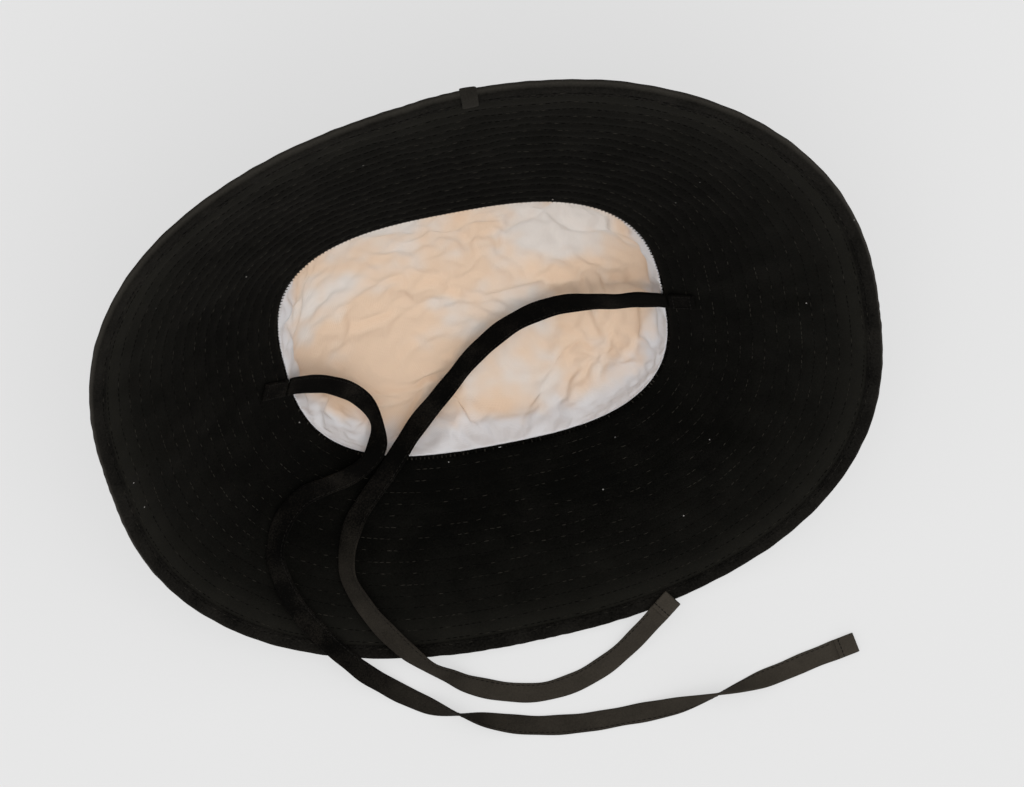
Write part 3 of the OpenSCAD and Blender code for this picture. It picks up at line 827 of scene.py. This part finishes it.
def bag(name, deeper, outset, steps):
    """The lining's bag as a plain open surface, and how far each point is from the middle."""
    piece, flat = flat_grid(name, steps, steps, size=2)
    points, reach = lining_point(flat[:, 0], flat[:, 1], deeper, outset)
    return piece, points, reach, flat


lining, bag_points, reach, flat = bag("lining_bag", 0.0, 0.0, grid_steps)
inward = lean_over(np.array([0, 0, 1.0]))
crumple = (np.sin(5 * flat[:, 0] + 3 * flat[:, 1]) * np.sin(4 * flat[:, 1] - 2 * flat[:, 0] + 1)
           + 0.6 * np.sin(9 * flat[:, 0] - 6 * flat[:, 1] + 2) + 0.4 * np.sin(12 * flat[:, 1] + 6))
started = bag_points + inward * (crumple * crumple_height * np.clip((1 - reach) * 8, 0, 1))[:, None]
move_points(lining, started)
rim_group = lining.vertex_groups.new(name="sewn_edge")
rim_group.add([int(i) for i in np.flatnonzero(reach > 0.985)], 1.0, "REPLACE")

bed, bed_points, _, _ = bag("bed", bed_deeper, bed_outset, bed_steps)
move_points(bed, bed_points)
only(bed)
bpy.ops.object.modifier_add(type="COLLISION")
bed.collision.thickness_outer = 0.0005
bed.collision.cloth_friction = 12
bpy.context.scene.gravity = tuple(-9.81 * inward)
only(lining)
cloth = lining.modifiers.new("slump", "CLOTH")
cloth.settings.quality = 8
cloth.settings.mass = 0.12
cloth.settings.tension_stiffness = 25
cloth.settings.compression_stiffness = 25
cloth.settings.shear_stiffness = 12
cloth.settings.bending_stiffness = 1.6
cloth.settings.bending_damping = 0.4
cloth.settings.air_damping = 2
cloth.settings.shrink_min = -slack
cloth.settings.vertex_group_mass = "sewn_edge"
cloth.collision_settings.distance_min = 0.0006
cloth.collision_settings.collision_quality = 3
cloth.collision_settings.use_self_collision = False
cloth.point_cache.frame_start = 1
cloth.point_cache.frame_end = slump_frames
for number in range(1, slump_frames + 1):
    bpy.context.scene.frame_set(number)
bpy.ops.object.modifier_apply(modifier="slump")
bpy.context.scene.frame_set(1)
bpy.data.objects.remove(bed)

# Loose cloth stays under the ties: none of it stands above the bag's plain shape
slumped = points_of(lining)
above = (slumped - bag_points) @ inward
move_points(lining, slumped - inward * np.maximum(above, 0)[:, None])
only(lining)
finer = lining.modifiers.new("finer", "SUBSURF")
finer.levels = finer.render_levels = 1
bpy.ops.object.modifier_apply(modifier="finer")
wall = lining.modifiers.new("wall", "SOLIDIFY")
wall.thickness = lining_cloth
wall.offset = 0
bpy.ops.object.modifier_apply(modifier="wall")
bpy.ops.object.shade_smooth()


def lining_material():
    """Peach cotton, painted grey-white towards the sewn edge for the steep side walls seen at a grazing
    angle, with painted highlights in pale patches.
    """
    material = bpy.data.materials.new("peach_lining_cotton")
    material.use_nodes = True
    nodes, join = material.node_tree.nodes, material.node_tree.links.new
    shader = nodes["Principled BSDF"]
    uv = nodes.new("ShaderNodeUVMap")
    uv.uv_map = "lie"
    coords = nodes.new("ShaderNodeTexCoord")
    place_on = nodes.new("ShaderNodeVectorMath")
    place_on.operation = "MULTIPLY_ADD"
    place_on.inputs[1].default_value = (2, 2, 0)
    place_on.inputs[2].default_value = (-1, -1, 0)
    join(uv.outputs[0], place_on.inputs[0])

    def noise(scale, detail, rough=0.5):
        node = nodes.new("ShaderNodeTexNoise")
        node.inputs["Scale"].default_value = scale
        node.inputs["Detail"].default_value = detail
        node.inputs["Roughness"].default_value = rough
        join(coords.outputs["Object"], node.inputs["Vector"])
        return node.outputs[0]

    sums = sums_in(nodes, join)

    def stepped(value, low, high):
        node = nodes.new("ShaderNodeMapRange")
        node.interpolation_type = "SMOOTHSTEP"
        node.inputs["From Min"].default_value = low
        node.inputs["From Max"].default_value = high
        join(value, node.inputs["Value"])
        return node.outputs[0]

    def mixed(factor, a, b):
        node = nodes.new("ShaderNodeMix")
        node.data_type = "RGBA"
        join(factor, node.inputs["Factor"])
        for socket, value in ((node.inputs["A"], a), (node.inputs["B"], b)):
            if hasattr(value, "is_linked"):
                join(value, socket)
            else:
                socket.default_value = (*value, 1)
        return node.outputs["Result"]

    parts = nodes.new("ShaderNodeSeparateXYZ")
    join(place_on.outputs[0], parts.inputs[0])
    xx = sums("MULTIPLY", parts.outputs[0], parts.outputs[0])
    yy = sums("MULTIPLY", parts.outputs[1], parts.outputs[1])
    squared = sums("SUBTRACT", sums("ADD", xx, yy), sums("MULTIPLY", xx, yy))
    # Painted light: grey-white towards the sewn edge, for the steep side walls seen at a grazing angle
    edge = stepped(sums("ADD", squared, sums("MULTIPLY", sums("SUBTRACT", noise(60, 2), 0.5), 0.35)),
                   0.62, 0.86)
    # Painted highlights: pale patches for the bright facets of the creased cloth
    patches = stepped(noise(17, 3, 0.6), 0.42, 0.60)
    peach = mixed(patches, (0.765, 0.575, 0.425), (0.725, 0.665, 0.615))
    join(mixed(edge, peach, (0.68, 0.665, 0.675)), shader.inputs["Base Color"])
    weave_x = nodes.new("ShaderNodeTexWave")
    weave_y = nodes.new("ShaderNodeTexWave")
    weave_y.bands_direction = "Y"
    for weave in (weave_x, weave_y):
        weave.inputs["Scale"].default_value = 85
        weave.inputs["Distortion"].default_value = 0.6
        join(uv.outputs[0], weave.inputs["Vector"])
    threads = sums("ADD", weave_x.outputs["Fac"], weave_y.outputs["Fac"])
    bump = nodes.new("ShaderNodeBump")
    bump.inputs["Distance"].default_value = 0.00008
    bump.inputs["Strength"].default_value = 0.5
    join(threads, bump.inputs["Height"])
    join(bump.outputs["Normal"], shader.inputs["Normal"])
    join(sums("MULTIPLY_ADD", noise(400, 2), 0.1, 0.82), shader.inputs["Roughness"])
    shader.inputs["Specular IOR Level"].default_value = 0.2
    shader.inputs["Sheen Weight"].default_value = 0.08
    return material


lining.data.materials.append(lining_material())
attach(lining, "hat")
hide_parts("lining_left", "lining_right", "lining_tip")

# Head seam: the lining's edge is whipped to the brim with short black stitches, about five
# to a centimetre, that bite over the pale cloth.
seam_ts = spaced_round(lambda a: lean_over(head_point(a)) + head_centre, 0.0021)
seam_out = lean_over(head_outward(seam_ts))
seam_axis = np.tile(inward, (len(seam_ts), 1))
seam_middles = lean_over(head_point(seam_ts) - 0.0010 * head_outward(seam_ts)) + head_centre \
    + seam_axis * 0.0001
seam_along = unit(seam_out + seam_axis * 0.45)
seam_up = unit(seam_axis - seam_along * np.sum(seam_axis * seam_along, -1, keepdims=True))
seam_thread = sew("head_seam_whipping", seam_middles, seam_along, seam_up, length=0.0024,
                  width=0.0009, height=0.0005, seed=21)
seam_thread.data.materials.append(brim_thread)
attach(seam_thread, "hat")
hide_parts("head_seam_thread")

# Roots of the ties: the first stretch of each tape, laid on the brim beside the opening
# and sewn down.
root_gap, root_length, root_rise = 0.0015, 0.012, 0.0022


def tie_root(side, angle, skew):
    height = root_rise + tape_thickness / 2
    inner = brim_at(np.array(angle), root_gap, height)
    outer = brim_at(np.array(angle + skew), root_gap + root_length, height)
    along = unit(inner - outer)
    face = brim_normal(np.array(angle + skew / 2), root_length / 2)
    up = unit(face - along * np.dot(along, face))
    across = np.cross(along, up)
    half = np.array([tape_width, tape_thickness]) / 2
    shares = np.array([0, 0.02, 0.06, 0.3, 0.6, 0.94, 1.0])
    fullness = np.array([0.4, 0.85, 1, 0.96, 0.96, 1, 0.9])
    sections = [outer + (inner - outer) * share + across * (tape_outline[:, :1] * half[0])
                + up * (tape_outline[:, 1:] * half[1] * full) for share, full in zip(shares, fullness)]
    uvs = [[(0.0, v) for v in np.linspace(0, 1, len(tape_outline))] for _ in shares]
    root = swept(f"{side}_tie_root", sections, uvs)
    root.data.materials.append(tape_cloth)
    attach(root, "hat")
    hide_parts(f"{side}_tie_tack")
    marks = []
    for share in (0.16, 0.84):
        marks += [(share, x, across) for x in np.linspace(-0.75, 0.75, 4)]
    marks += [(share, x, along) for share in np.linspace(0.26, 0.74, 4) for x in (-0.8, 0.8)]
    middles = np.array([outer + (inner - outer) * share + across * x * half[0] + up * half[1] * 0.88
                        for share, x, _ in marks])
    thread = sew(f"{side}_tie_root_stitching", middles, np.array([m[2] for m in marks]),
                 np.tile(up, (len(marks), 1)), length=0.0019, width=0.0005, height=0.0004, seed=31)
    thread.data.materials.append(tape_thread)
    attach(thread, "hat")


tie_root("left", math.radians(186), math.radians(-4))
tie_root("right", 0.0, 0.0)

# Table and light: a plain pale table top, a soft sky and one large soft lamp overhead.
bpy.ops.object.select_all(action="DESELECT")
bpy.ops.mesh.primitive_plane_add(size=12, location=(0, 0, 0))
table_top = bpy.context.object
table_top.name = "table_top"
table_paint = bpy.data.materials.new("pale_table")
table_paint.use_nodes = True
table_nodes, table_join = table_paint.node_tree.nodes, table_paint.node_tree.links.new
paint = table_nodes["Principled BSDF"]
paint.inputs["Base Color"].default_value = (0.80, 0.80, 0.80, 1)
paint.inputs["Roughness"].default_value = 1.0
paint.inputs["Specular IOR Level"].default_value = 0.0
# What the eye sees of the table is mostly its own even colour, with a faint shadow on it
pale = (0.806, 0.806, 0.806, 1)
seen = table_nodes.new("ShaderNodeLightPath")
evenness = table_nodes.new("ShaderNodeMath")
evenness.operation = "MULTIPLY"
evenness.inputs[1].default_value = 0.72
either = table_nodes.new("ShaderNodeMath")
either.operation = "MAXIMUM"
table_join(seen.outputs["Is Camera Ray"], either.inputs[0])
table_join(seen.outputs["Is Glossy Ray"], either.inputs[1])
table_join(either.outputs[0], evenness.inputs[0])
own_colour = table_nodes.new("ShaderNodeEmission")
own_colour.inputs["Color"].default_value = pale
blend = table_nodes.new("ShaderNodeMixShader")
table_join(evenness.outputs[0], blend.inputs[0])
table_join(paint.outputs[0], blend.inputs[1])
table_join(own_colour.outputs[0], blend.inputs[2])
table_join(blend.outputs[0], table_nodes["Material Output"].inputs["Surface"])
table_top.data.materials.append(table_paint)

world = bpy.data.worlds.new("soft_sky")
world.use_nodes = True
sky = world.node_tree.nodes["Background"]
sky.inputs["Color"].default_value = (1, 1, 1, 1)
sky.inputs["Strength"].default_value = 0.72
# The sky itself is seen as pale as the table
backdrop = world.node_tree.nodes.new("ShaderNodeBackground")
backdrop.inputs["Color"].default_value = pale
sky_path = world.node_tree.nodes.new("ShaderNodeLightPath")
sky_mix = world.node_tree.nodes.new("ShaderNodeMixShader")
sky_join = world.node_tree.links.new
sky_join(sky_path.outputs["Is Camera Ray"], sky_mix.inputs[0])
sky_join(sky.outputs[0], sky_mix.inputs[1])
sky_join(backdrop.outputs[0], sky_mix.inputs[2])
sky_join(sky_mix.outputs[0], world.node_tree.nodes["World Output"].inputs["Surface"])
bpy.context.scene.world = world
lamp_data = bpy.data.lights.new("soft_lamp", "AREA")
lamp_data.shape = "DISK"
lamp_data.size = 2.6
lamp_data.energy = 24
lamp = bpy.data.objects.new("soft_lamp", lamp_data)
lamp.location = (0.2, -0.6, 2.5)
lamp.rotation_euler = (math.radians(13), math.radians(5), 0)
bpy.context.collection.objects.link(lamp)
bpy.context.scene.view_settings.view_transform = "Standard"
